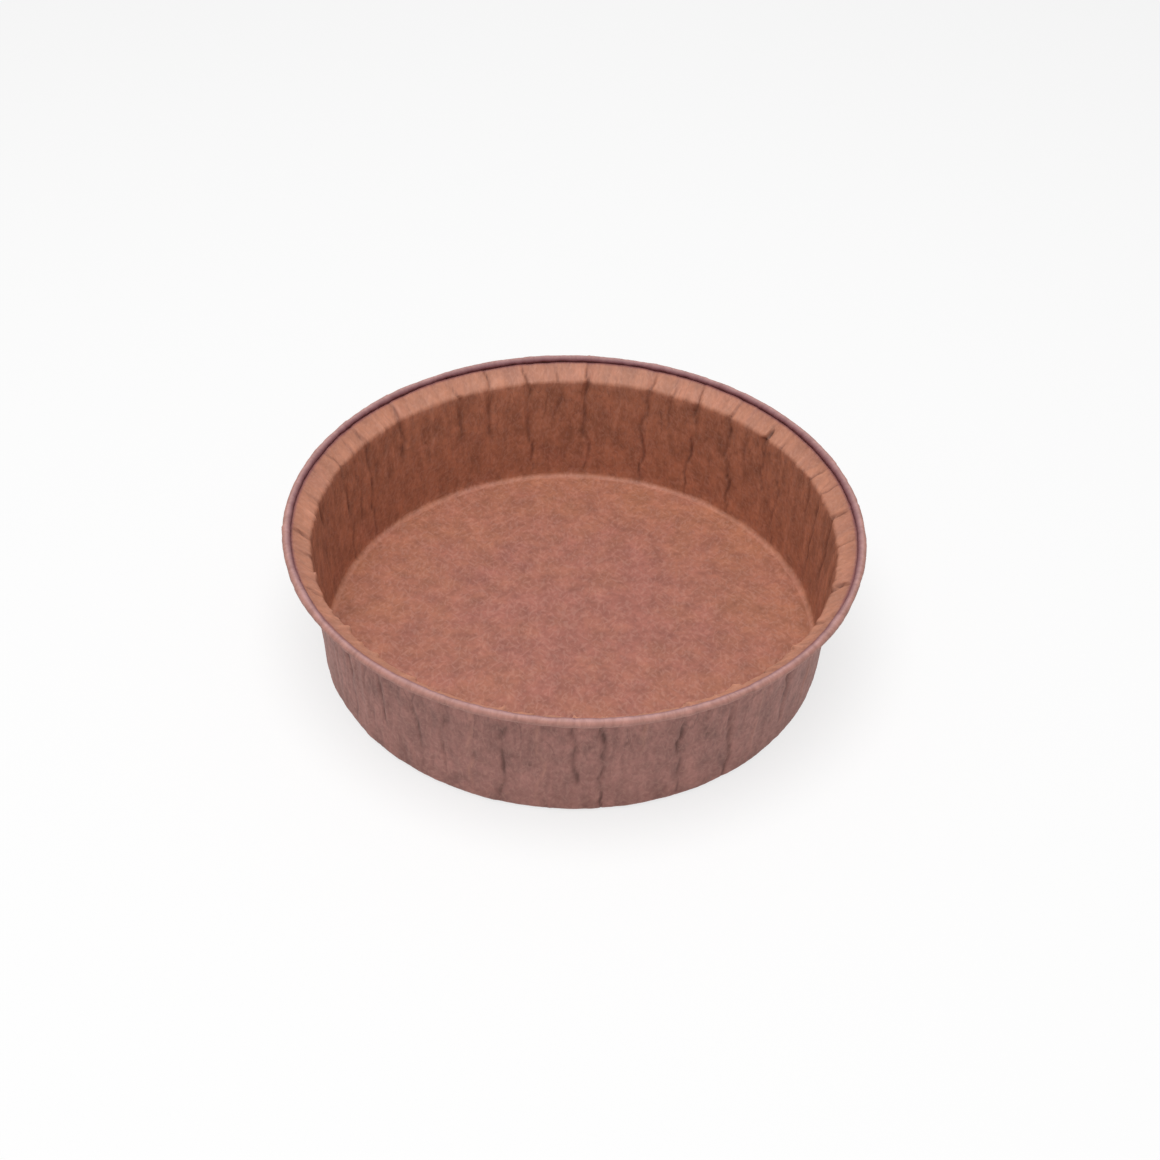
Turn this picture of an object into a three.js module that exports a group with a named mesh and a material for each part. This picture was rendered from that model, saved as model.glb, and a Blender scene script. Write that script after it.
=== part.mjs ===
// A tartlet cup pressed from one round blank of brown baking paper, with its edge rolled inwards.
import * as THREE from 'three';

// Driving dimensions of the sheet, in millimetres. Radii of bends are those of the sheet's middle line.
const paper = 0.4; // thickness of the sheet
const mouthDiameter = 90.8; // inside the wall, where it turns into the flange
const wallHeight = 22.4; // from the underside to the turn into the flange
const wallFlare = 0.95; // the top of the wall lies this much further out than its foot
const flangeWidth = 2.8; // from the wall to the seat of the roll, seen from above
const flangeRise = 2.4; // the seat of the roll lies this much above the top of the wall
const rollSeat = 0.9; // level strip from the flange to the middle of the roll
const rollHollow = 0.6; // diameter of the hollow inside the roll
const rollSlit = 0.2; // open slit between the end of the roll and its seat
const footBend = 1.1;
const mouthBend = 1;
const seatBend = 0.5;

// Paper springs back unevenly: seen from above the mouth is slightly oval, and its rim isn't quite
// level. Both are in millimetres, either way from round and level, with the direction in degrees.
const ovalOut = 0.35;
const ovalToward = -43;
const warpUp = 0.18;
const warpToward = 45;

// Driving dimensions of the pressed creases, in millimetres and degrees
const creaseWidth = 1.2;
const deepCrease = 0.45; // how far a deep crease is pushed out of the sheet
const fineCrease = 0.2;
const finePitch = 7; // degrees from crease to crease, where the gap between deep ones has room for fine ones
const fineWander = 0.17; // share of the space between creases in which a fine one lies by chance
const fineFootLimit = 0.8; // fine creases end anywhere from the floor up to this share of the wall's height
const creaseSway = 0.3; // degrees that a crease snakes to each side on its way up the wall
const swayWaves = 1.3; // waves of that snaking in the height of the wall
const creaseFade = 0.2; // share of the wall's height in which a short crease dies out
const footPress = 0.35; // share of the creases' depth that is left where the wall meets the floor's bend
const footReach = 0.3; // share of the wall's height up to which that holds a crease shallow
const slitLeft = 0.5; // share of the open slit that a deep crease leaves open under the end of the roll
const chanceSeed = 2354;

// Deep creases, counted anticlockwise from +X. Each runs down from the roll to foot, a share of the
// wall's height, and leans by that many degrees on the way to the floor. A crease pushed outwards is
// a groove inside the cup, and one pushed inwards is a groove outside it.
const OUT = 1;
const IN = -1;
const deepCreases = [
  { at: 5, lean: 2, foot: 0.5, push: OUT },
  { at: 14, lean: 1, foot: 0.35, push: OUT },
  { at: 20, lean: -0.5, foot: 0.7, push: OUT },
  { at: 38.5, lean: -1, foot: 0.6, push: OUT },
  { at: 50, lean: -2, foot: 0, push: OUT },
  { at: 59, lean: 1.5, foot: 0, push: OUT },
  { at: 72, lean: 1.5, foot: 0, push: OUT },
  { at: 88, lean: -0.5, foot: 0, push: OUT },
  { at: 102.5, lean: -1, foot: 0.2, push: OUT },
  { at: 112, lean: 0, foot: 0.6, push: OUT },
  { at: 136, lean: 1, foot: 0.7, push: OUT },
  { at: 148, lean: 0.5, foot: 0.2, push: OUT },
  { at: 158.5, lean: -0.5, foot: 0, push: OUT },
  { at: 185, lean: 1, foot: 0.3, push: OUT },
  { at: 216.5, lean: 0.5, foot: 0.25, push: IN },
  { at: 227, lean: 1, foot: 0.45, push: IN },
  { at: 237, lean: 0.7, foot: 0.25, push: IN },
  { at: 257, lean: -0.7, foot: 0, push: IN },
  { at: 270.5, lean: 1, foot: 0.4, push: IN },
  { at: 276.5, lean: 0, foot: 0, push: IN },
  { at: 292.5, lean: 0, foot: 0.15, push: IN },
  { at: 304, lean: 1, foot: 0.1, push: IN },
  { at: 321, lean: -1, foot: 0.35, push: IN },
  { at: 331, lean: -1, foot: 0.2, push: OUT },
  { at: 341, lean: 0.5, foot: 0.5, push: OUT },
  { at: 355, lean: 1, foot: 0.3, push: OUT },
];

// Rows of facets along the sheet
const footSteps = 2;
const wallSteps = 5;
const mouthSteps = 1;
const seatSteps = 1;
const rollSteps = 5;

const FULL_TURN = 360;
const RIGHT_ANGLE = Math.PI / 2;

// The middle line of the sheet is a row of stations from the axis to the end of the roll. Each has its
// place, the direction of its normal towards the inside of the cup, and what creases do there.
const halfPaper = paper / 2;
const wallTop = { r: mouthDiameter / 2 + halfPaper, z: wallHeight };
const wallFoot = { r: wallTop.r - wallFlare, z: halfPaper };
const seatStart = { r: wallTop.r + flangeWidth, z: wallTop.z + flangeRise };
const rollRadius = (rollHollow + paper) / 2;
const rollCentre = { r: seatStart.r + rollSeat, z: seatStart.z + rollRadius };

const wallSlope = Math.atan2(wallTop.z - wallFoot.z, wallTop.r - wallFoot.r);
const flangeSlope = Math.atan2(flangeRise, flangeWidth);
const slitShare = (rollSlit + paper) / (rollRadius + halfPaper);
const rollEnd = 3 * RIGHT_ANGLE + Math.asin(1 - slitShare);
const seatPress = ((1 - slitLeft) * rollSlit) / deepCrease;

// Stations round an arc while the direction of travel turns from one slope to another
function arcStations(centre, radius, from, to, steps, press) {
  const side = Math.sign(to - from);
  const stations = [];
  for (let k = 0; k <= steps; k++) {
    const slope = from + ((to - from) * k) / steps;
    const normal = { r: -Math.sin(slope), z: Math.cos(slope) };
    const r = centre.r - side * radius * normal.r;
    const z = centre.z - side * radius * normal.z;
    stations.push({ r, z, normal, press: press(k / steps) });
  }
  return stations;
}

// Stations of a rounded corner between two straight stretches
function bendStations(corner, radius, from, to, steps, press) {
  const side = Math.sign(to - from);
  const reach = radius * Math.tan(Math.abs(to - from) / 2);
  const centre = {
    r: corner.r - reach * Math.cos(from) - side * radius * Math.sin(from),
    z: corner.z - reach * Math.sin(from) + side * radius * Math.cos(from),
  };
  return arcStations(centre, radius, from, to, steps, press);
}

// Stations between the last one of a stretch and the first one of the next
function straightStations(start, end, steps, press) {
  const stations = [];
  for (let k = 1; k < steps; k++) {
    const share = k / steps;
    const r = start.r + (end.r - start.r) * share;
    const z = start.z + (end.z - start.z) * share;
    stations.push({ r, z, normal: start.normal, press: press(share) });
  }
  return stations;
}

const centreStation = { r: 0, z: halfPaper, normal: { r: 0, z: 1 }, press: 0 };
const footStations = bendStations(wallFoot, footBend, 0, wallSlope, footSteps, (share) => footPress * share);
const mouthStations = bendStations(wallTop, mouthBend, wallSlope, flangeSlope, mouthSteps, () => 1);
const wallStations = straightStations(footStations.at(-1), mouthStations[0], wallSteps, (share) =>
  THREE.MathUtils.lerp(footPress, 1, THREE.MathUtils.smoothstep(share, 0, footReach)),
);
const seatStations = bendStations(seatStart, seatBend, flangeSlope, 0, seatSteps, () => seatPress);
const rollStations = arcStations(rollCentre, rollRadius, 0, rollEnd, rollSteps, (share) =>
  THREE.MathUtils.lerp(seatPress, 0, share),
);
const midline = [
  centreStation,
  ...footStations,
  ...wallStations,
  ...mouthStations,
  ...seatStations,
  ...rollStations,
];

// The section goes out along the underside and back along the inside of the sheet
const outerSkin = midline.map((station) => ({ station, offset: -halfPaper }));
const innerSkin = midline.map((station) => ({ station, offset: halfPaper })).reverse();
const section = [...outerSkin, ...innerSkin];

// A repeatable sequence of numbers from 0 to 1
const chanceFactor = 16807;
const chanceModulus = 2147483647;
function seededNumbers(seed) {
  let state = seed;
  return () => {
    state = (state * chanceFactor) % chanceModulus;
    return state / chanceModulus;
  };
}

// Fine creases share out the gap after each deep one, and push to either side by turns
function creasesAround() {
  const random = seededNumbers(chanceSeed);
  const creases = [];
  deepCreases.forEach((deep, index) => {
    const next = deepCreases[(index + 1) % deepCreases.length];
    const gap = THREE.MathUtils.euclideanModulo(next.at - deep.at, FULL_TURN);
    const parts = Math.max(1, Math.round(gap / finePitch));
    creases.push({ ...deep, depth: deepCrease, phase: random() });
    for (let k = 1; k < parts; k++) {
      const chance = fineWander * (random() - 0.5);
      creases.push({
        at: deep.at + (gap * (k + chance)) / parts,
        lean: THREE.MathUtils.lerp(deep.lean, next.lean, k / parts),
        foot: fineFootLimit * random(),
        push: (index + k) % 2 === 0 ? OUT : IN,
        depth: fineCrease,
        phase: random(),
      });
    }
  });
  return creases;
}

// Each crease has a column of vertices at its middle and one at each edge
function columnsAround() {
  const columns = [];
  for (const crease of creasesAround()) {
    for (const edge of [-1, 0, 1]) columns.push({ crease, edge });
  }
  return columns;
}

// How far up the wall a station lies: 0 at the floor, and 1 at the flange and beyond it
function wallShare(station) {
  return THREE.MathUtils.clamp((station.z - wallFoot.z) / (wallTop.z - wallFoot.z), 0, 1);
}

// A wave with two crests on the way round the cup, one of them in the given direction
function twoCrests(angle, toward) {
  return Math.cos(2 * (angle - THREE.MathUtils.degToRad(toward)));
}

// The vertex of a column on a point of the section
function pressedPoint({ crease, edge }, { station, offset }) {
  const share = wallShare(station);
  const sway = creaseSway * Math.sin(2 * Math.PI * (swayWaves * share + crease.phase));
  const middle = THREE.MathUtils.degToRad(crease.at + crease.lean * (1 - share) + sway);
  const angle = middle + (edge * creaseWidth) / mouthDiameter;
  const start = crease.foot - creaseFade;
  const reach = crease.foot > 0 ? THREE.MathUtils.smoothstep(share, start, crease.foot) : 1;
  const pushed = edge === 0 ? crease.push * crease.depth * station.press * reach : 0;
  const fromMidline = offset - pushed;
  const out = ovalOut * share * twoCrests(angle, ovalToward);
  const up = warpUp * share * twoCrests(angle, warpToward);
  const r = station.r + fromMidline * station.normal.r + out;
  const z = station.z + fromMidline * station.normal.z + up;
  return new THREE.Vector3(r * Math.cos(angle), r * Math.sin(angle), z);
}

// The section is turned round the axis, and then each of its columns is moved to its crease
function tartletCup() {
  const columns = columnsAround();
  const outline = section.map(
    ({ station, offset }) =>
      new THREE.Vector2(station.r + offset * station.normal.r, station.z + offset * station.normal.z),
  );
  const geometry = new THREE.LatheGeometry(outline, columns.length);
  const position = geometry.getAttribute('position');
  for (let c = 0; c <= columns.length; c++) {
    section.forEach((sectionPoint, row) => {
      const point = pressedPoint(columns[c % columns.length], sectionPoint);
      position.setXYZ(c * section.length + row, point.x, point.y, point.z);
    });
  }
  geometry.computeVertexNormals();
  const bakingPaper = new THREE.MeshStandardMaterial({
    color: 0xa86a5a,
    roughness: 0.85,
    metalness: 0,
    flatShading: true,
  });
  const cup = new THREE.Mesh(geometry, bakingPaper);
  cup.name = 'tartlet_cup';
  return cup;
}

const group = new THREE.Group();
group.add(tartletCup());

export default group;
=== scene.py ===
import math

import bpy
from mathutils import Matrix, Vector


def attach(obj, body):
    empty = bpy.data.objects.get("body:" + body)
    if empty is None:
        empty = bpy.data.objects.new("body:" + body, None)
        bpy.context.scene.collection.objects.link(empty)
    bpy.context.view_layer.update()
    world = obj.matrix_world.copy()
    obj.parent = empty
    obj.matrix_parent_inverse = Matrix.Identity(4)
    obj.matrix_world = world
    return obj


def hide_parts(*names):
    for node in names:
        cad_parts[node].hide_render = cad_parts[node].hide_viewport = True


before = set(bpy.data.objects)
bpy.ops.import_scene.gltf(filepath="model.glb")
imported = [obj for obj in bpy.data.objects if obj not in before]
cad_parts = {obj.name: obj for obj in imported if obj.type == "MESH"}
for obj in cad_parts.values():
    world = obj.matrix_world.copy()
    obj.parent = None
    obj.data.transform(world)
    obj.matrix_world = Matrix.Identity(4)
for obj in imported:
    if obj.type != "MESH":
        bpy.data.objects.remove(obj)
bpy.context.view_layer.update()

# The section of the pressed sheet. A round blank of brown baking paper is pushed between a heated
# punch and die, which makes a flat floor, a nearly upright wall and a flange that slopes up. Its edge
# is then rolled inwards, and the end of the roll comes down on the flange and leaves an open slit.
MM = 0.001
PAPER = 0.4 * MM
MOUTH_DIAMETER = 90.8 * MM
WALL_HEIGHT = 22.4 * MM
WALL_FLARE = 0.95 * MM
FLANGE_WIDTH = 2.8 * MM
FLANGE_RISE = 2.4 * MM
ROLL_SEAT = 0.9 * MM
ROLL_HOLLOW = 0.6 * MM
ROLL_SLIT = 0.2 * MM
FOOT_BEND = 1.1 * MM  # radii of bends are those of the sheet's middle line
MOUTH_BEND = 1.0 * MM
SEAT_BEND = 0.5 * MM
FLOOR_EDGE = 0.3 * MM  # strip of floor beside its bend, over which the rubbed line, lighter by wear and by a painted highlight, sets in
FLOOR_STEPS = 4
FOOT_STEPS = 5
WALL_STEPS = 18
MOUTH_STEPS = 5
FLANGE_STEPS = 3
SEAT_STEPS = 2
ROLL_STEPS = 8


def arc(centre, radius, start, end, steps):
    """Points (r, z, slope) round a bend, while the sheet turns from one slope to another."""
    side = math.copysign(1, end - start)
    points = []
    for k in range(steps + 1):
        slope = start + (end - start) * k / steps
        r = centre[0] + side * radius * math.sin(slope)
        z = centre[1] - side * radius * math.cos(slope)
        points.append((r, z, slope))
    return points


def bend(corner, radius, start, end, steps):
    """The arc that rounds a corner between two straight stretches of the section."""
    side = math.copysign(1, end - start)
    reach = radius * math.tan(abs(end - start) / 2)
    r = corner[0] - reach * math.cos(start) - side * radius * math.sin(start)
    z = corner[1] - reach * math.sin(start) + side * radius * math.cos(start)
    return arc((r, z), radius, start, end, steps)


def straight(start, end, steps):
    """Points between the last one of a bend and the first one of the next."""
    points = []
    for k in range(1, steps):
        r = start[0] + (end[0] - start[0]) * k / steps
        z = start[1] + (end[1] - start[1]) * k / steps
        points.append((r, z, start[2]))
    return points


wall_top = (MOUTH_DIAMETER / 2 + PAPER / 2, WALL_HEIGHT)
wall_foot = (wall_top[0] - WALL_FLARE, PAPER / 2)
seat_start = (wall_top[0] + FLANGE_WIDTH, wall_top[1] + FLANGE_RISE)
roll_radius = (ROLL_HOLLOW + PAPER) / 2
roll_centre = (seat_start[0] + ROLL_SEAT, seat_start[1] + roll_radius)
wall_slope = math.atan2(wall_top[1] - wall_foot[1], wall_top[0] - wall_foot[0])
flange_slope = math.atan2(FLANGE_RISE, FLANGE_WIDTH)
slit_share = (ROLL_SLIT + PAPER) / (roll_radius + PAPER / 2)
roll_turn = 1.5 * math.pi + math.asin(1 - slit_share)

axis_point = (0.0, PAPER / 2, 0.0)
foot = bend(wall_foot, FOOT_BEND, 0, wall_slope, FOOT_STEPS)
mouth = bend(wall_top, MOUTH_BEND, wall_slope, flange_slope, MOUTH_STEPS)
seat = bend(seat_start, SEAT_BEND, flange_slope, 0, SEAT_STEPS)
roll = arc(roll_centre, roll_radius, 0, roll_turn, ROLL_STEPS)
floor_edge = (foot[0][0] - FLOOR_EDGE, PAPER / 2, 0.0)
stretches = {
    "floor": [axis_point] + straight(axis_point, floor_edge, FLOOR_STEPS) + [floor_edge],
    "foot": foot,
    "wall": straight(foot[-1], mouth[0], WALL_STEPS),
    "mouth": mouth,
    "flange": straight(mouth[-1], seat[0], FLANGE_STEPS),
    "seat": seat,
    "roll": roll,
}
# How the sheet's surface changes from the start of each stretch to its end: the share of their depth
# that the creases, the laps beside them and the wrinkles keep, the creases' width, how dark the creases
# are painted as shade, how far bends and the flange are rubbed lighter and painted with a highlight,
# and where the slit's painted shade and the roll's painted sheen lie
SURFACE_VALUES = ("press", "lap", "wrinkle", "spread", "dark", "rubbed", "slit", "rolled")
surface_of = {
    "floor": ((0, 0), (0, 0), (0, 0), (0.4, 0.4), (0, 0), (0, 0), (0, 0), (0, 0)),
    "foot": ((0, 0.35), (0, 0.3), (0, 0.6), (0.4, 0.4), (0, 1.2), (0.55, 0), (0, 0), (0, 0)),
    "wall": ((0.35, 1), (0.3, 0.8), (0.6, 1), (0.4, 1.1), (1.3, 1), (0, 0), (0, 0), (0, 0)),
    "mouth": ((1, 1), (0.8, 2), (1, 1), (1.1, 0.5), (1, 1.3), (0.3, 1), (0, 0), (0, 0)),
    "flange": ((1, 0.22), (2, 1), (1, 0.8), (0.5, 0.4), (1.3, 1.2), (1, 0.8), (0, 0), (0, 0)),
    "seat": ((0.22, 0.22), (0.8, 0.4), (0.8, 0.4), (0.4, 0.4), (0.6, 0.3), (0.6, 0), (0.15, 1), (0, 0)),
    "roll": ((0.22, 0), (0.4, 0.2), (0.4, 0.4), (0.4, 0.4), (0.3, 0.3), (0.5, 0.5), (0, 0), (1, 1)),
}


def named_points(name, places, values):
    """A mesh of loose points, with one attribute for each named list of numbers or vectors."""
    mesh = bpy.data.meshes.new(name)
    mesh.from_pydata(places, [], [])
    for key, numbers in values.items():
        is_vector = isinstance(numbers[0], tuple)
        attribute = mesh.attributes.new(key, "FLOAT_VECTOR" if is_vector else "FLOAT", "POINT")
        for point, number in zip(attribute.data, numbers):
            if is_vector:
                point.vector = number
            else:
                point.value = number
    made = bpy.data.objects.new(name, mesh)
    bpy.context.scene.collection.objects.link(made)
    return made


places = []
stations = {"normal": [], "height": [], "along": [], "roll_end": []}
for key in SURFACE_VALUES:
    stations[key] = []
travelled = 0.0
for stretch, points in stretches.items():
    for k, (r, z, slope) in enumerate(points):
        share = k / max(1, len(points) - 1)
        if places:
            travelled += math.dist((r, z), (places[-1][0], places[-1][2]))
        places.append((r, 0.0, z))
        height = (z - wall_foot[1]) / (wall_top[1] - wall_foot[1])
        stations["normal"].append((-math.sin(slope), 0.0, math.cos(slope)))
        stations["height"].append(min(max(height, 0.0), 1.0))
        stations["along"].append(travelled)
        stations["roll_end"].append(max(0.0, 2 * share - 1) if stretch == "roll" else 0.0)
        for key, (at_start, at_end) in zip(SURFACE_VALUES, surface_of[stretch]):
            stations[key].append(at_start + (at_end - at_start) * share)
section = named_points("sheet_section", places, stations)
station_count = len(places)

# The pressed creases. The blank has too much paper for the wall, so the press gathers it into 26 deep
# creases and about as many fine ones between them. Each runs down from the roll to foot, a share of
# the wall's height, and leans by some degrees on the way to the floor.
OUT, IN = 1, -1  # pushed outwards, which is a groove inside the cup, or pushed inwards
DEEP_CREASES = [  # degrees from +X at the rim, degrees of lean, foot, push
    (5, 2, 0.5, OUT), (14, 1, 0.35, OUT), (20, -0.5, 0.7, OUT), (38.5, -1, 0.6, OUT),
    (50, -2, 0, OUT), (59, 1.5, 0, OUT), (72, 1.5, 0, OUT), (88, -0.5, 0, OUT),
    (102.5, -1, 0.2, OUT), (112, 0, 0.6, OUT), (136, 1, 0.7, OUT), (148, 0.5, 0.2, OUT),
    (158.5, -0.5, 0, OUT), (185, 1, 0.3, OUT), (216.5, 0.5, 0.25, IN), (227, 1, 0.45, IN),
    (237, 0.7, 0.25, IN), (257, -0.7, 0, IN), (270.5, 1, 0.4, IN), (276.5, 0, 0, IN),
    (292.5, 0, 0.15, IN), (304, 1, 0.1, IN), (321, -1, 0.35, IN), (331, -1, 0.2, OUT),
    (341, 0.5, 0.5, OUT), (355, 1, 0.3, OUT),
]
DEEP_CREASE = 0.42 * MM
FINE_CREASE = 0.16 * MM
DEEP_WIDTH = 2.2 * MM
FINE_WIDTH = 1.5 * MM
DEEP_LAP = 0.16 * MM  # one side of a crease stands this much up, and the other as much down
FINE_LAP = 0.08 * MM
FINE_PITCH = 7.0  # degrees from crease to crease, where the gap between deep ones has room for fine ones
FINE_WANDER = 0.17  # share of that pitch in which a fine crease lies by chance
FINE_FOOT_LIMIT = 0.8
CHANCE_SEED = 2354
CHANCE_FACTOR = 16807
CHANCE_MODULUS = 2147483647


def seeded_numbers(seed):
    """The same sequence of numbers from 0 to 1 each time."""
    while True:
        seed = seed * CHANCE_FACTOR % CHANCE_MODULUS
        yield seed / CHANCE_MODULUS


chance = seeded_numbers(CHANCE_SEED)
creases = []  # degrees, lean, foot, push, depth, width, lap, phase
for index, (at, lean, foot_share, push) in enumerate(DEEP_CREASES):
    next_at, next_lean = DEEP_CREASES[(index + 1) % len(DEEP_CREASES)][:2]
    gap = (next_at - at) % 360
    creases.append((at, lean, foot_share, push, DEEP_CREASE, DEEP_WIDTH, DEEP_LAP, next(chance)))
    parts = max(1, int(gap / FINE_PITCH + 0.5))
    for k in range(1, parts):
        at_part = at + gap * (k + FINE_WANDER * (next(chance) - 0.5)) / parts
        lean_part = lean + (next_lean - lean) * k / parts
        foot_part = FINE_FOOT_LIMIT * next(chance)
        push_part = OUT if (index + k) % 2 == 0 else IN
        fine_sizes = (FINE_CREASE, FINE_WIDTH, FINE_LAP)
        creases.append((at_part, lean_part, foot_part, push_part, *fine_sizes, next(chance)))

marks = {"at": [], "lean": [], "foot": [], "push": [], "width": [], "lap": [], "phase": []}
mark_places = []
for at, lean, foot_share, push, depth, width, lap, phase in creases:
    middle = math.radians(at + lean / 2)
    mark_places.append((math.cos(middle), math.sin(middle), 0.0))
    marks["at"].append(math.radians(at))
    marks["lean"].append(math.radians(lean))
    marks["foot"].append(foot_share)
    marks["push"].append(push * depth)
    marks["width"].append(width)
    marks["lap"].append(math.copysign(lap, phase - 0.5))
    marks["phase"].append(phase)
cup = named_points("tartlet_cup_paper", mark_places, marks)

# The cup itself, made round the marks of its creases: a grid of columns round the axis and rows along
# the sheet, out along the underside and back along the inside, laid on the section, pushed in and out
# by the creases and by the paper's own wrinkles, and turned round the axis.
cup_inputs = {
    "Columns": 1000,
    "Paper": PAPER,
    "Oval Out": 0.35 * MM,
    "Oval Toward": math.radians(-43),
    "Warp Up": 0.18 * MM,
    "Warp Toward": math.radians(45),
    "Sway": math.radians(0.3),
    "Sway Waves": 1.3,
    "Wander": math.radians(1.7),
    "Crease Fade": 0.2,
    "Crease Line": 0.38 * MM,
    "Lap Edge": 0.7 * MM,
    "Lap Width": 2.2 * MM,
    "Buckle Pitch": 7.0 * MM,
    "Buckle Depth": 0.45 * MM,
    "Wrinkle Pitch": 2.2 * MM,
    "Wrinkle Depth": 0.28 * MM,
    "Ridge Pitch": 3.0 * MM,
    "Ridge Depth": 0.07 * MM,
    "Stretch": 0.16,
    "Jagged End": 0.18 * MM,
    "Skin Apart": 10.0 * MM,
    "Seed": 23.54,
}
NOISE_SPAN = {"From Min": 0.3, "From Max": 0.7}  # nearly all of a noise's values lie in this span
CREASE_NOISE_APART = 100.0  # spreads the creases along their noise, each by its own phase
WANDERS = 4.0  # about how often a crease wanders in the height of the wall
SWELLS = 4.3  # and how often its depth swells there
SHALLOWEST, DEEPEST = 0.25, 1.25  # shares of a crease's depth that it swells between
LINE_IN_GROOVE = 0.35  # how much of a groove is a sharp line in the middle, and the rest a round bowl
LINE_IN_SHADE = 0.45
DEPTH_POWER = 0.5  # a fine crease isn't as much paler than a deep one as it is shallower
SHORTEST_FADE = 0.001  # share of the wall's height, so that a crease still ends where its fade is 0
SLIT_FROM, SLIT_TO = 0.3, 0.62  # shares of the roll's second half over which the slit's painted shade sets in
OUTSIDE_SHEEN = 0.15  # how much of the painted sheen on the roll's top its outside shows
RIDGE_LINE = 0.16  # a ridge stands where its noise, from -1 to 1, is nearer to 0 than this
NOISE_TWIST = 0.4
JAGS = 24.0  # scale of the unevenness of the roll's end, on a circle of radius 1
FURTHEST_END, SHORTEST_END = -2.2, 0.7  # times Jagged End, counted back along the sheet
MERGE_REACH = 0.001 * MM

MATH = "ShaderNodeMath"
VECTOR_MATH = "ShaderNodeVectorMath"
COMBINE = "ShaderNodeCombineXYZ"
RANGE = "ShaderNodeMapRange"
NOISE = "ShaderNodeTexNoise"
MIX = "ShaderNodeMix"
ATTRIBUTE = "GeometryNodeInputNamedAttribute"
SAMPLE = "GeometryNodeSampleIndex"


def add(nodes_of, kind, inputs=None, **settings):
    """Adds one node with its settings, and sets or links its inputs, which are named or numbered."""
    node = nodes_of.nodes.new(kind)
    for name, value in settings.items():
        setattr(node, name, value)
    for key, value in (inputs or {}).items():
        if isinstance(key, int):
            socket = node.inputs[key]
        else:
            socket = next(s for s in node.inputs if s.enabled and s.name == key)
        if isinstance(value, bpy.types.Node):
            value = next(s for s in value.outputs if s.enabled)
        if isinstance(value, bpy.types.NodeSocket):
            nodes_of.links.new(value, socket)
        else:
            socket.default_value = value
    return node


tree = bpy.data.node_groups.new("pressed_paper_cup", "GeometryNodeTree")
tree.interface.new_socket("Creases", in_out="INPUT", socket_type="NodeSocketGeometry")
tree.interface.new_socket("Section", in_out="INPUT", socket_type="NodeSocketObject")
for name, value in cup_inputs.items():
    kind = "NodeSocketInt" if isinstance(value, int) else "NodeSocketFloat"
    tree.interface.new_socket(name, in_out="INPUT", socket_type=kind).default_value = value
tree.interface.new_socket("Material", in_out="INPUT", socket_type="NodeSocketMaterial")
tree.interface.new_socket("Cup", in_out="OUTPUT", socket_type="NodeSocketGeometry")
given = add(tree, "NodeGroupInput").outputs
own_place = add(tree, "GeometryNodeInputPosition")

# The grid's own place gives each point its turn round the axis and its row along the sheet
columns = add(tree, MATH, {0: given["Columns"], 1: 1.0}, operation="ADD")
grid = add(tree, "GeometryNodeMeshGrid", {
    "Size X": 1.0, "Size Y": 1.0, "Vertices X": columns, "Vertices Y": 2 * station_count,
})
grid_place = add(tree, "ShaderNodeSeparateXYZ", {0: own_place}).outputs
turn = add(tree, MATH, {0: grid_place["X"], 1: 0.5}, operation="ADD")
angle = add(tree, MATH, {0: turn, 1: 2 * math.pi}, operation="MULTIPLY")
last_row = 2.0 * station_count - 1.0
row_share = add(tree, MATH, {0: grid_place["Y"], 1: 0.5}, operation="ADD")
row = add(tree, MATH, {0: row_share, 1: last_row}, operation="MULTIPLY")
row = add(tree, MATH, {0: row}, operation="ROUND")
row_back = add(tree, MATH, {0: last_row, 1: row}, operation="SUBTRACT")
station = add(tree, MATH, {0: row, 1: row_back}, operation="MINIMUM")
is_inside = add(tree, MATH, {0: row, 1: station_count - 0.5}, operation="GREATER_THAN")
side = add(tree, MATH, {0: is_inside, 1: 2.0, 2: -1.0}, operation="MULTIPLY_ADD")

# What the section gives at this row
section_points = add(tree, "GeometryNodeObjectInfo", {"Object": given["Section"]}).outputs["Geometry"]
at_station = {}
for name in ("height", "along", "roll_end", *SURFACE_VALUES):
    value = add(tree, ATTRIBUTE, {"Name": name}, data_type="FLOAT")
    at_station[name] = add(tree, SAMPLE, {
        "Geometry": section_points, "Value": value, "Index": station,
    }, data_type="FLOAT")
normals = add(tree, ATTRIBUTE, {"Name": "normal"}, data_type="FLOAT_VECTOR")
normal = add(tree, SAMPLE, {
    "Geometry": section_points, "Value": normals, "Index": station,
}, data_type="FLOAT_VECTOR")
middle_place = add(tree, SAMPLE, {
    "Geometry": section_points, "Value": own_place, "Index": station,
}, data_type="FLOAT_VECTOR")
radius = add(tree, "ShaderNodeSeparateXYZ", {0: middle_place}).outputs["X"]
height = at_station["height"]

# The nearest crease, and how far this point lies to one side of it
cosine = add(tree, MATH, {0: angle}, operation="COSINE")
sine = add(tree, MATH, {0: angle}, operation="SINE")
round_place = add(tree, COMBINE, {"X": cosine, "Y": sine})
nearest = add(tree, "GeometryNodeSampleNearest", {
    "Geometry": given["Creases"], "Sample Position": round_place,
})
crease = {}
for name in marks:
    value = add(tree, ATTRIBUTE, {"Name": name}, data_type="FLOAT")
    crease[name] = add(tree, SAMPLE, {
        "Geometry": given["Creases"], "Value": value, "Index": nearest,
    }, data_type="FLOAT")
wave = add(tree, MATH, {0: height, 1: given["Sway Waves"], 2: crease["phase"]}, operation="MULTIPLY_ADD")
wave = add(tree, MATH, {0: wave, 1: 2 * math.pi}, operation="MULTIPLY")
sway = add(tree, MATH, {0: wave}, operation="SINE")
path = add(tree, MATH, {0: sway, 1: given["Sway"], 2: crease["at"]}, operation="MULTIPLY_ADD")
below = add(tree, MATH, {0: 1.0, 1: height}, operation="SUBTRACT")
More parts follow.
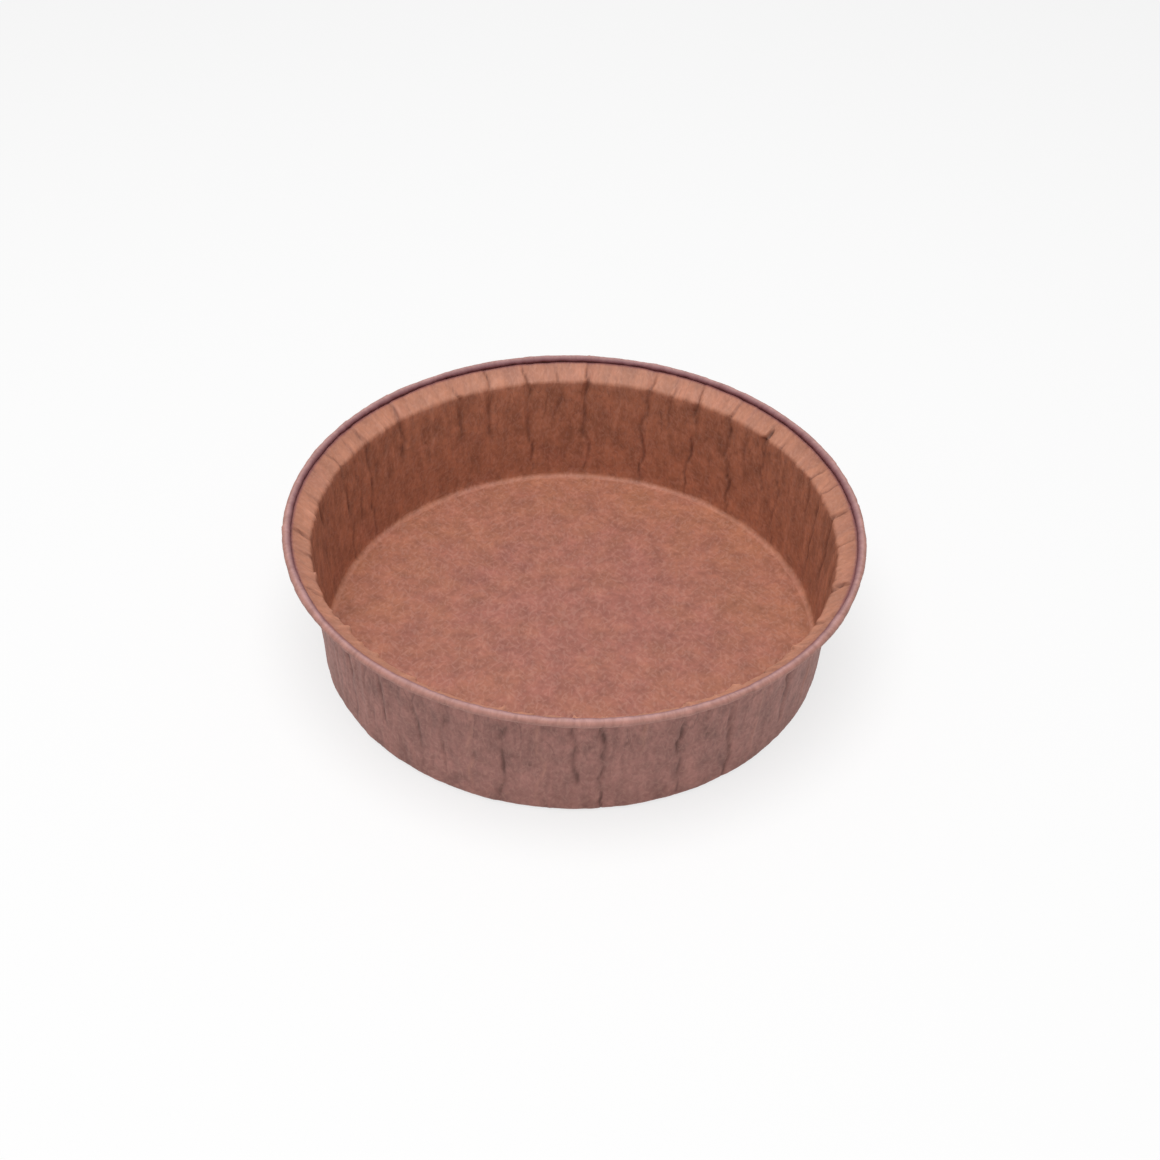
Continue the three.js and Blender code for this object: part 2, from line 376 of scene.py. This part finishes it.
path = add(tree, MATH, {0: crease["lean"], 1: below, 2: path}, operation="MULTIPLY_ADD")
run = add(tree, MATH, {0: at_station["along"], 1: WALL_HEIGHT}, operation="DIVIDE")
run = add(tree, MATH, {0: crease["phase"], 1: CREASE_NOISE_APART, 2: run}, operation="MULTIPLY_ADD")
wander = add(tree, NOISE, {"W": run, "Scale": WANDERS, "Detail": 2.0}, noise_dimensions="1D")
wander = add(tree, MATH, {0: wander, 1: 0.5}, operation="SUBTRACT")
wander = add(tree, MATH, {0: wander, 1: 2.0}, operation="MULTIPLY")
path = add(tree, MATH, {0: wander, 1: given["Wander"], 2: path}, operation="MULTIPLY_ADD")
off_angle = add(tree, MATH, {0: angle, 1: path}, operation="SUBTRACT")
off_angle = add(tree, MATH, {0: off_angle, 1: math.pi, 2: -math.pi}, operation="WRAP")
off = add(tree, MATH, {0: off_angle, 1: radius}, operation="MULTIPLY")
distance = add(tree, MATH, {0: off}, operation="ABSOLUTE")

# How much of the crease is left here: it swells and shrinks on its way, and fades out at its foot
swell = add(tree, NOISE, {"W": run, "Scale": SWELLS, "Detail": 1.0}, noise_dimensions="1D")
swell = add(tree, RANGE, {"Value": swell, **NOISE_SPAN, "To Min": SHALLOWEST, "To Max": DEEPEST})
fade_start = add(tree, MATH, {0: crease["foot"], 1: given["Crease Fade"]}, operation="SUBTRACT")
fade_end = add(tree, MATH, {0: crease["foot"], 1: SHORTEST_FADE}, operation="ADD")
reach = add(tree, RANGE, {
    "Value": height, "From Min": fade_start, "From Max": fade_end,
}, interpolation_type="SMOOTHSTEP")
reach = add(tree, MATH, {0: reach, 1: swell}, operation="MULTIPLY")

# The groove of a crease narrows from the mouth down to the foot, and on the flange
half_width = add(tree, MATH, {0: crease["width"], 1: at_station["spread"]}, operation="MULTIPLY")
half_width = add(tree, MATH, {0: half_width, 1: 0.5}, operation="MULTIPLY")
across = add(tree, MATH, {0: distance, 1: half_width}, operation="DIVIDE")
across_squared = add(tree, MATH, {0: across, 1: across}, operation="MULTIPLY")
inverse = add(tree, MATH, {0: 1.0, 1: across_squared}, operation="SUBTRACT", use_clamp=True)
bowl = add(tree, MATH, {0: inverse, 1: inverse}, operation="MULTIPLY")
line = add(tree, RANGE, {
    "Value": distance, "From Max": given["Crease Line"], "To Min": 1.0, "To Max": 0.0,
})
groove = add(tree, MIX, {"Factor": LINE_IN_GROOVE, "A": bowl, "B": line}, data_type="FLOAT")

# Beside it the sheet laps: one side stands up and the other lies down, and both fade out further off
lap_side = add(tree, MATH, {0: off}, operation="SIGN")
lap_step = add(tree, RANGE, {
    "Value": distance, "From Max": given["Lap Width"], "To Min": 1.0, "To Max": 0.0,
}, interpolation_type="SMOOTHSTEP")
for factor in (lap_side, crease["lap"], at_station["lap"]):
    lap_step = add(tree, MATH, {0: lap_step, 1: factor}, operation="MULTIPLY")
pushed = add(tree, MATH, {0: groove, 1: crease["push"]}, operation="MULTIPLY")
pushed = add(tree, MATH, {0: pushed, 1: at_station["press"], 2: lap_step}, operation="MULTIPLY_ADD")
pushed = add(tree, MATH, {0: pushed, 1: reach}, operation="MULTIPLY")

# What the material shows of the crease as painted light: positive in its groove, which is painted darker
# as shade, and negative on its other side, which is painted lighter as a highlight
pushed_way = add(tree, MATH, {0: crease["push"]}, operation="SIGN")
groove_side = add(tree, MATH, {0: side, 1: pushed_way}, operation="MULTIPLY")
depth = add(tree, MATH, {0: crease["push"]}, operation="ABSOLUTE")
depth = add(tree, MATH, {0: depth, 1: DEEP_CREASE}, operation="DIVIDE")
depth = add(tree, MATH, {0: depth, 1: DEPTH_POWER}, operation="POWER")
shade = add(tree, MIX, {"Factor": LINE_IN_SHADE, "A": bowl, "B": line}, data_type="FLOAT")
for factor in (reach, groove_side, depth, at_station["dark"]):
    shade = add(tree, MATH, {0: shade, 1: factor}, operation="MULTIPLY")

# And of the laps, as painted light: positive where the sheet stands up on this side, which is painted
# lighter as a highlight, and negative where it lies down, which is painted darker as shade. A push goes away
# from the inside of the cup, so its sign is turned.
lap_edge = add(tree, RANGE, {
    "Value": distance, "From Max": given["Lap Edge"], "To Min": 1.0, "To Max": 0.0,
})
for factor in (lap_side, crease["lap"], -1 / DEEP_LAP, at_station["lap"], side, reach):
    lap_edge = add(tree, MATH, {0: lap_edge, 1: factor}, operation="MULTIPLY")

# The slit's painted shade sets in down the inner side of the roll and lies on its seat. The roll has a
# painted sheen of light grey from its top on, where the slit's shade sets in, and only slightly so outside.
slit_shade_mask = add(tree, RANGE, {
    "Value": at_station["roll_end"], "From Min": SLIT_FROM, "From Max": SLIT_TO,
})
slit_shade_mask = add(tree, MATH, {0: slit_shade_mask, 1: at_station["slit"]}, operation="MAXIMUM")
roll_top = add(tree, RANGE, {
    "Value": at_station["roll_end"], "From Max": SLIT_FROM, "To Min": OUTSIDE_SHEEN,
})
roll_top = add(tree, MATH, {0: roll_top, 1: at_station["rolled"]}, operation="MULTIPLY")

# Wrinkles run along the sheet. Their noise is read on a cylinder as wide as the mouth, whose length is
# the way along the sheet, squeezed.
along_place = add(tree, COMBINE, {"Z": at_station["along"]})
sheet_place = add(tree, VECTOR_MATH, {0: round_place, "Scale": MOUTH_DIAMETER / 2}, operation="SCALE")
sheet_place = add(tree, VECTOR_MATH, {0: sheet_place, 1: along_place}, operation="ADD")
squeeze = add(tree, COMBINE, {"X": 1.0, "Y": 1.0, "Z": given["Stretch"]})
squeezed = add(tree, VECTOR_MATH, {0: sheet_place, 1: squeeze}, operation="MULTIPLY")


def stretched_noise(pitch, detail):
    """Noise from -1 to 1 that runs along the sheet, with the given pitch round the cup."""
    scale = add(tree, MATH, {0: 1.0, 1: given[pitch]}, operation="DIVIDE")
    noise = add(tree, NOISE, {
        "Vector": squeezed, "W": given["Seed"], "Scale": scale, "Detail": detail, "Distortion": NOISE_TWIST,
    }, noise_dimensions="4D")
    centred = add(tree, MATH, {0: noise, 1: 0.5}, operation="SUBTRACT")
    return add(tree, MATH, {0: centred, 1: 2.0}, operation="MULTIPLY")


ridge_noise = add(tree, MATH, {0: stretched_noise("Ridge Pitch", 1.0)}, operation="ABSOLUTE")
ridges = add(tree, RANGE, {
    "Value": ridge_noise, "From Max": RIDGE_LINE, "To Min": 1.0, "To Max": 0.0,
}, interpolation_type="SMOOTHSTEP")
ridges_in = add(tree, MATH, {0: ridges, 1: given["Ridge Depth"]}, operation="MULTIPLY")
ridges_in = add(tree, MATH, {0: ridges_in, 1: side}, operation="MULTIPLY")
wrinkle_noise = stretched_noise("Wrinkle Pitch", 2.0)
buckle_noise = stretched_noise("Buckle Pitch", 1.0)
relief = add(tree, MATH, {0: wrinkle_noise, 1: given["Wrinkle Depth"]}, operation="MULTIPLY")
relief = add(tree, MATH, {0: buckle_noise, 1: given["Buckle Depth"], 2: relief}, operation="MULTIPLY_ADD")
relief = add(tree, MATH, {0: relief, 1: ridges_in}, operation="SUBTRACT")
pushed = add(tree, MATH, {0: relief, 1: at_station["wrinkle"], 2: pushed}, operation="MULTIPLY_ADD")
hollow = add(tree, MATH, {0: wrinkle_noise, 1: side}, operation="MULTIPLY")

# The place on the section: half the paper to one side of its middle line, less the push
half_paper = add(tree, MATH, {0: given["Paper"], 1: 0.5}, operation="MULTIPLY")
off_middle = add(tree, MATH, {0: side, 1: half_paper}, operation="MULTIPLY")
off_middle = add(tree, MATH, {0: off_middle, 1: pushed}, operation="SUBTRACT")
off_vector = add(tree, VECTOR_MATH, {0: normal, "Scale": off_middle}, operation="SCALE")
place = add(tree, VECTOR_MATH, {0: middle_place, 1: off_vector}, operation="ADD")

# The end of the roll is the cut edge of the blank, which isn't quite even: mostly it reaches further
# into the slit than the section does, and in places less far
back_along = add(tree, VECTOR_MATH, {0: normal, 1: (0.0, 1.0, 0.0)}, operation="CROSS_PRODUCT")
jag = add(tree, NOISE, {
    "Vector": round_place, "W": given["Seed"], "Scale": JAGS, "Detail": 3.0,
}, noise_dimensions="4D")
jag = add(tree, RANGE, {"Value": jag, **NOISE_SPAN, "To Min": FURTHEST_END, "To Max": SHORTEST_END})
for factor in (given["Jagged End"], at_station["roll_end"]):
    jag = add(tree, MATH, {0: jag, 1: factor}, operation="MULTIPLY")
jag_vector = add(tree, VECTOR_MATH, {0: back_along, "Scale": jag}, operation="SCALE")
place = add(tree, VECTOR_MATH, {0: place, 1: jag_vector}, operation="ADD")

# The paper springs back slightly oval and not quite level, more so towards the rim
spring = {}
for name, way in (("Oval", "Out"), ("Warp", "Up")):
    toward = add(tree, MATH, {0: angle, 1: given[f"{name} Toward"]}, operation="SUBTRACT")
    toward = add(tree, MATH, {0: toward, 1: 2.0}, operation="MULTIPLY")
    crest = add(tree, MATH, {0: toward}, operation="COSINE")
    amount = add(tree, MATH, {0: crest, 1: given[f"{name} {way}"]}, operation="MULTIPLY")
    spring[name] = add(tree, MATH, {0: amount, 1: height}, operation="MULTIPLY")
sprung = add(tree, COMBINE, {"X": spring["Oval"], "Z": spring["Warp"]})
place = add(tree, VECTOR_MATH, {0: place, 1: sprung}, operation="ADD")
turned = add(tree, "ShaderNodeVectorRotate", {"Vector": place, "Angle": angle}, rotation_type="Z_AXIS")

# What the material reads, kept before the points move. The blank is the sheet before it was pressed,
# when each point lay as far from the middle as it has travelled along the section. Its two skins are
# read far apart, so that they don't show the same fibres.
skin = add(tree, MATH, {0: side, 1: given["Skin Apart"]}, operation="MULTIPLY")
skin_place = add(tree, COMBINE, {"Z": skin})
blank_place = add(tree, VECTOR_MATH, {0: round_place, "Scale": at_station["along"]}, operation="SCALE")
blank_place = add(tree, VECTOR_MATH, {0: blank_place, 1: skin_place}, operation="ADD")
stored = {
    "inside": is_inside,
    "crease": shade,
    "hollow": hollow,
    "ridge": ridges,
    "wrinkled": at_station["wrinkle"],
    "rubbed": at_station["rubbed"],
    "lap_edge": lap_edge,
    "slit": slit_shade_mask,
    "roll_top": roll_top,
}
stored_places = {"sheet": sheet_place, "blank": blank_place}
shown = grid
for kind, values in (("FLOAT", stored), ("FLOAT_VECTOR", stored_places)):
    for name, value in values.items():
        shown = add(tree, "GeometryNodeStoreNamedAttribute", {
            "Geometry": shown, "Name": name, "Value": value,
        }, data_type=kind, domain="POINT")
moved = add(tree, "GeometryNodeSetPosition", {"Geometry": shown, "Position": turned})
merged = add(tree, "GeometryNodeMergeByDistance", {"Geometry": moved, "Distance": MERGE_REACH})
smooth = add(tree, "GeometryNodeSetShadeSmooth", {"Geometry": merged})
solid = add(tree, "GeometryNodeRealizeInstances", {"Geometry": smooth})
finished = add(tree, "GeometryNodeSetMaterial", {"Geometry": solid, "Material": given["Material"]})
add(tree, "NodeGroupOutput", {"Cup": finished})

# Greaseproof paper, dyed brown right through and pressed smooth and matt. Short fibres show in it as
# light and dark flecks. The side that faces the filling is redder, and the reverse, which also shows on
# the roll, is greyer. Painted shade darkens creases and the slit, a painted sheen greys the roll's top,
# and bends are rubbed lighter, with a painted highlight on them as well.
INNER_BROWN = "#A16659"
WARM_BROWN = "#A86E54"
REVERSE_BROWN = "#A06F66"
# painted shade in the creases' grooves
CREASE_SHADE_BROWN = "#4E2A22"
# lighter by wear, and a painted highlight on bends, the flange and beside creases
RUBBED_AND_HIGHLIGHT_BROWN = "#DC9E86"
FIBRE_BROWN = "#D8A797"
FLECK_BROWN = "#6A382F"
# painted shade in the slit under the roll's end
SLIT_SHADE_BROWN = "#6C3A44"
# painted sheen: a light grey laid on the roll's top
ROLL_SHEEN_GREY = "#B0969F"
HUE_SIZE = 9.0 * MM
CLOUD_SIZE = 3.6 * MM
FLECK_SIZE = 1.1 * MM
FIBRE_WIDTH = 0.55 * MM  # real fibres are far finer, and these are as coarse as they need to show
FIBRE_LENGTH = 1.3 * MM
FIBRE_TURNS = (0.9, 1.57, 2.3)  # radians: the paper's grain runs from front to back
STREAK_WIDTH = 2.6 * MM
STREAK_LENGTH = 4.2 * MM
CRACK_WIDTH = 2.6 * MM
CRACK_LENGTH = 9.0 * MM
CRACK_LINE = 0.035  # a crack shows where its noise, from 0 to 1, is nearer to its middle than this
# Between which values each of these starts to show and shows most
HUE_SPAN = {"From Min": 0.35, "From Max": 0.65}
CRACKED_SPAN = {"From Min": 0.5, "From Max": 0.6}
HOLLOW_SPAN = {"From Min": -0.6, "From Max": 0.6}
FLECK_SPAN = {"From Min": 0.5, "From Max": 0.3}
FIBRE_SPAN = {"From Min": 0.58, "From Max": 0.78}
WARM_FROM, WARM_TO = 18.0 * MM, 43.0 * MM  # from the middle of the floor, along the sheet
COOLEST, WARMEST = -0.15, 0.4  # shares of warm brown that the paper's own hues range between
# painted warm bounce light from the wall onto the edge of the floor
EDGE_BOUNCE_WARMTH = 0.7
WALL_WARMTH = 0.4
RUBBED_AND_HIGHLIGHT_WARMTH = -0.2
# How much lighter or darker each of these makes the paper, as a share of its brightness: clouds and
# streaks are the paper's own tone, while hollows, ridges, laps and cracks are painted shade and painted
# highlights
CLOUD_SHADE = 0.2
STREAK_SHADE = 0.19
HOLLOW_SHADE = 0.16
RIDGE_HIGHLIGHT = 0.14
LAP_LIGHT_AND_SHADE = 0.3
CRACK_SHADE = -0.32
# How much of its colour each of these lays over the paper, at most
ROLL_SHEEN_SHARE = 0.5
FLECK_SHARE = 0.18
FIBRE_SHARE = 0.17
RUBBED_AND_HIGHLIGHT_SHARE = 0.3
RAISED_HIGHLIGHT_SHARE = 0.35
CREASE_SHADE_SHARE = 0.66
DARKEST_CREASE = 1.2
SLIT_SHADE_SHARE = 0.85
FIBRE_BUMP = 0.03 * MM
CRACK_BUMP = -1.5  # times as deep as a fibre is high
BUMP_STRENGTH = 0.2
PAPER_ROUGHNESS = 0.62
PAPER_GLOSS = 0.4


def linear(colour):
    """An sRGB hex colour as linear red, green, blue and alpha."""
    channels = [int(colour[k:k + 2], 16) / 255 for k in (1, 3, 5)]
    return [c / 12.92 if c <= 0.04045 else ((c + 0.055) / 1.055) ** 2.4 for c in channels] + [1.0]


paper = bpy.data.materials.new("greaseproof_paper")
paper.use_nodes = True
look = paper.node_tree
look.nodes.clear()
read = {}
for name in stored:
    read[name] = add(look, "ShaderNodeAttribute", attribute_name=name).outputs["Fac"]
for name in stored_places:
    read[name] = add(look, "ShaderNodeAttribute", attribute_name=name).outputs["Vector"]
blank = read["blank"]

# The paper's hue: warmer in patches and up the wall. Towards the edge of the floor the warmth is painted
# light, the wall's warm bounce onto the floor.
hues = add(look, NOISE, {"Vector": blank, "Scale": 1 / HUE_SIZE, "Detail": 3.0, "Roughness": 0.6})
warmth = add(look, RANGE, {"Value": hues, **HUE_SPAN, "To Min": COOLEST, "To Max": WARMEST})
along = add(look, "ShaderNodeSeparateXYZ", {0: read["sheet"]}).outputs["Z"]
edge_bounce_warmth = add(look, RANGE, {
    "Value": along, "From Min": WARM_FROM, "From Max": WARM_TO, "To Max": EDGE_BOUNCE_WARMTH,
})
warmth = add(look, MATH, {0: warmth, 1: edge_bounce_warmth}, operation="ADD")
warmth = add(look, MATH, {0: read["rubbed"], 1: RUBBED_AND_HIGHLIGHT_WARMTH, 2: warmth}, operation="MULTIPLY_ADD")
warmth = add(look, MATH, {
    0: read["wrinkled"], 1: WALL_WARMTH, 2: warmth,
}, operation="MULTIPLY_ADD", use_clamp=True)
inner = add(look, MIX, {
    "Factor": warmth, "A": linear(INNER_BROWN), "B": linear(WARM_BROWN),
}, data_type="RGBA")
base = add(look, MIX, {
    "Factor": read["inside"], "A": linear(REVERSE_BROWN), "B": inner,
}, data_type="RGBA")
# the roll's painted sheen
sheen_share = add(look, MATH, {0: read["roll_top"], 1: ROLL_SHEEN_SHARE}, operation="MULTIPLY")
base = add(look, MIX, {"Factor": sheen_share, "A": base, "B": linear(ROLL_SHEEN_GREY)}, data_type="RGBA")

# Its tone: cloudy all over, and on the wall streaked; cracks and hollows are painted darker as shade, and
# all that stands up is painted lighter as a highlight
clouds = add(look, NOISE, {"Vector": blank, "Scale": 1 / CLOUD_SIZE, "Detail": 3.0, "Roughness": 0.7})
tone = add(look, RANGE, {
    "Value": clouds, **NOISE_SPAN, "To Min": 1 - CLOUD_SHADE, "To Max": 1 + CLOUD_SHADE,
})
streak_place = add(look, VECTOR_MATH, {
    0: read["sheet"], 1: (1 / STREAK_WIDTH, 1 / STREAK_WIDTH, 1 / STREAK_LENGTH),
}, operation="MULTIPLY")
streaks = add(look, NOISE, {"Vector": streak_place, "Scale": 1.0, "Detail": 2.0})
streak_shade = add(look, RANGE, {
    "Value": streaks, **NOISE_SPAN, "To Min": -STREAK_SHADE, "To Max": STREAK_SHADE,
})
crack_place = add(look, VECTOR_MATH, {
    0: read["sheet"], 1: (1 / CRACK_WIDTH, 1 / CRACK_WIDTH, 1 / CRACK_LENGTH),
}, operation="MULTIPLY")
cracks = add(look, NOISE, {"Vector": crack_place, "Scale": 1.0, "Detail": 1.0, "Distortion": 0.7})
cracks = add(look, MATH, {0: cracks, 1: 0.5}, operation="SUBTRACT")
cracks = add(look, MATH, {0: cracks}, operation="ABSOLUTE")
cracks = add(look, RANGE, {"Value": cracks, "From Max": CRACK_LINE, "To Min": 1.0, "To Max": 0.0})
cracked_here = add(look, RANGE, {"Value": streaks, **CRACKED_SPAN})
for factor in (cracked_here, read["wrinkled"]):
    cracks = add(look, MATH, {0: cracks, 1: factor}, operation="MULTIPLY")
hollow_shade = add(look, RANGE, {
    "Value": read["hollow"], **HOLLOW_SPAN, "To Min": HOLLOW_SHADE, "To Max": -HOLLOW_SHADE,
})
wall_shade = add(look, MATH, {0: streak_shade, 1: hollow_shade}, operation="ADD")
for mark, mark_shade in ((read["ridge"], RIDGE_HIGHLIGHT), (read["lap_edge"], LAP_LIGHT_AND_SHADE), (cracks, CRACK_SHADE)):
    wall_shade = add(look, MATH, {0: mark, 1: mark_shade, 2: wall_shade}, operation="MULTIPLY_ADD")
tone = add(look, MATH, {0: wall_shade, 1: read["wrinkled"], 2: tone}, operation="MULTIPLY_ADD")

# Flecks, and fibres in three directions
flecks = add(look, NOISE, {"Vector": blank, "Scale": 1 / FLECK_SIZE, "Detail": 0.0})
fleck_share = add(look, RANGE, {"Value": flecks, **FLECK_SPAN, "To Max": FLECK_SHARE})
bump_height = flecks
fibre_share = 0.0
for fibre_turn in FIBRE_TURNS:
    fibre_place = add(look, "ShaderNodeMapping", {
        "Vector": blank, "Rotation": (0.0, 0.0, fibre_turn),
        "Scale": (FIBRE_LENGTH, FIBRE_WIDTH, FIBRE_WIDTH),
    }, vector_type="TEXTURE")
    fibre = add(look, NOISE, {"Vector": fibre_place, "Scale": 1.0, "Detail": 0.0, "Distortion": 0.5})
    fibre = add(look, RANGE, {"Value": fibre, **FIBRE_SPAN, "To Max": FIBRE_SHARE})
    bump_height = add(look, MATH, {0: fibre, 1: bump_height}, operation="ADD")
    fibre_share = add(look, MATH, {0: fibre, 1: fibre_share}, operation="MAXIMUM")
bump_height = add(look, MATH, {0: cracks, 1: CRACK_BUMP, 2: bump_height}, operation="MULTIPLY_ADD")

# The colours that lie over the paper's own, from the lowest to the uppermost: the paper's flecks and
# fibres, rubbing with a painted highlight, the painted highlight beside creases, the painted shade in
# creases and the painted shade of the slit
rubbing_and_highlight = add(look, MATH, {0: read["rubbed"], 1: RUBBED_AND_HIGHLIGHT_SHARE}, operation="MULTIPLY")
# a painted highlight on the side of a crease that stands up, and painted shade in its groove
painted_crease_highlight = add(look, RANGE, {"Value": read["crease"], "From Max": -1.0, "To Max": RAISED_HIGHLIGHT_SHARE})
painted_crease_shade = add(look, RANGE, {
    "Value": read["crease"], "From Max": DARKEST_CREASE, "To Max": CREASE_SHADE_SHARE,
})
slit_shade = add(look, MATH, {0: read["slit"], 1: SLIT_SHADE_SHARE}, operation="MULTIPLY")
layers = (
    (fleck_share, FLECK_BROWN),
    (fibre_share, FIBRE_BROWN),
    (rubbing_and_highlight, RUBBED_AND_HIGHLIGHT_BROWN),
    (painted_crease_highlight, RUBBED_AND_HIGHLIGHT_BROWN),
    (painted_crease_shade, CREASE_SHADE_BROWN),
    (slit_shade, SLIT_SHADE_BROWN),
)
colour = add(look, VECTOR_MATH, {0: base, "Scale": tone}, operation="SCALE")
for layer_share, layer_colour in layers:
    colour = add(look, MIX, {
        "Factor": layer_share, "A": colour, "B": linear(layer_colour),
    }, data_type="RGBA")
bump = add(look, "ShaderNodeBump", {
    "Height": bump_height, "Distance": FIBRE_BUMP, "Strength": BUMP_STRENGTH,
})
surface = add(look, "ShaderNodeBsdfPrincipled", {
    "Base Color": colour, "Roughness": PAPER_ROUGHNESS, "Specular IOR Level": PAPER_GLOSS, "Normal": bump,
})
add(look, "ShaderNodeOutputMaterial", {"Surface": surface})

modifier = cup.modifiers.new("pressed_paper_cup", "NODES")
modifier.node_group = tree
for item in tree.interface.items_tree:
    if item.in_out == "INPUT" and item.name == "Section":
        modifier[item.identifier] = section
    if item.in_out == "INPUT" and item.name == "Material":
        modifier[item.identifier] = paper
graph = bpy.context.evaluated_depsgraph_get()
cup_mesh = bpy.data.meshes.new_from_object(cup.evaluated_get(graph))
cup.modifiers.remove(modifier)
cup.data = cup_mesh
bpy.data.objects.remove(section)
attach(cup, "root")
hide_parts("tartlet_cup")

# The stage: a white table, a wide soft light overhead and an even white surround. The camera sees the
# table and the surround nearly white, and the cup's shadow stays on the table.
TABLE_SIZE = 6.0
TABLE_WHITE = "#F4F4F4"
TABLE_GLOW = 0.74  # share of the table that the camera sees as plain white, without the shadow
SURROUND_LIGHT = 0.34  # strength at which the surround lights the cup, while the camera sees it at 1
SOFTBOX_SIZE = 0.45
SOFTBOX_WATTS = 3.0
SOFTBOX_PLACE = Vector((-0.04, -0.1, 0.6))
SOFTBOX_AIM = Vector((0.0, 0.0, 0.02))
WHITE_LIGHT = (1, 1, 1, 1)

half = TABLE_SIZE / 2
table_corners = [(-half, -half, 0), (half, -half, 0), (half, half, 0), (-half, half, 0)]
table_mesh = bpy.data.meshes.new("white_table")
table_mesh.from_pydata(table_corners, [], [(0, 1, 2, 3)])
table = bpy.data.objects.new("white_table", table_mesh)
bpy.context.scene.collection.objects.link(table)
white = bpy.data.materials.new("white_card")
white.use_nodes = True
card = white.node_tree
card.nodes.clear()
diffuse = add(card, "ShaderNodeBsdfDiffuse", {"Color": linear(TABLE_WHITE)})
glow = add(card, "ShaderNodeEmission", {"Color": WHITE_LIGHT, "Strength": 1.0})
rays = add(card, "ShaderNodeLightPath").outputs
seen = add(card, MATH, {0: rays["Is Camera Ray"], 1: rays["Is Glossy Ray"]}, operation="MAXIMUM")
seen = add(card, MATH, {0: seen, 1: TABLE_GLOW}, operation="MULTIPLY")
mixed = add(card, "ShaderNodeMixShader", {0: seen, 1: diffuse, 2: glow})
add(card, "ShaderNodeOutputMaterial", {"Surface": mixed})
table_mesh.materials.append(white)

world = bpy.data.worlds.new("white_surround")
world.use_nodes = True
sky = world.node_tree
sky.nodes.clear()
sky_rays = add(sky, "ShaderNodeLightPath").outputs
seen_sky = add(sky, MATH, {
    0: sky_rays["Is Camera Ray"], 1: sky_rays["Is Glossy Ray"],
}, operation="MAXIMUM")
strength = add(sky, RANGE, {"Value": seen_sky, "To Min": SURROUND_LIGHT})
background = add(sky, "ShaderNodeBackground", {"Color": WHITE_LIGHT, "Strength": strength})
add(sky, "ShaderNodeOutputWorld", {"Surface": background})
bpy.context.scene.world = world

softbox = bpy.data.lights.new("softbox", "AREA")
softbox.shape = "DISK"
softbox.size = SOFTBOX_SIZE
softbox.energy = SOFTBOX_WATTS
lamp = bpy.data.objects.new("softbox", softbox)
lamp.location = SOFTBOX_PLACE
lamp.rotation_euler = (SOFTBOX_AIM - SOFTBOX_PLACE).to_track_quat("-Z", "Y").to_euler()
bpy.context.scene.collection.objects.link(lamp)

# The camera stands close above the cup, as the photograph's does
SENSOR = 36.0
PHOTO_SIDE = 1160
FOCAL_PIXELS = 1621.9
CAMERA_DISTANCE = 280 * MM  # from the middle of the rim
CAMERA_ELEVATION = math.radians(38.67)
CAMERA_ROLL = math.radians(1.413)
NEAREST_SEEN = 10 * MM
RIM_HEIGHT = roll_centre[1] + roll_radius + PAPER / 2
AIM = Vector((1.134 * MM, -17.4 * MM, RIM_HEIGHT))

camera_data = bpy.data.cameras.new("camera")
camera_data.sensor_width = SENSOR
camera_data.lens = FOCAL_PIXELS / PHOTO_SIDE * SENSOR
camera_data.clip_start = NEAREST_SEEN
camera = bpy.data.objects.new("camera", camera_data)
camera_back = CAMERA_DISTANCE * math.cos(CAMERA_ELEVATION)
camera_up = CAMERA_DISTANCE * math.sin(CAMERA_ELEVATION)
stand = Vector((0.0, -camera_back, RIM_HEIGHT + camera_up))
forward = (AIM - stand).normalized()
level_right = forward.cross(Vector((0, 0, 1))).normalized()
level_up = level_right.cross(forward)
right = level_right * math.cos(CAMERA_ROLL) + level_up * math.sin(CAMERA_ROLL)
up = level_up * math.cos(CAMERA_ROLL) - level_right * math.sin(CAMERA_ROLL)
turn_matrix = Matrix((right, up, -forward)).transposed().to_4x4()
camera.matrix_world = Matrix.Translation(stand) @ turn_matrix
bpy.context.scene.collection.objects.link(camera)
bpy.context.scene.camera = camera
bpy.context.scene.view_settings.view_transform = "Standard"
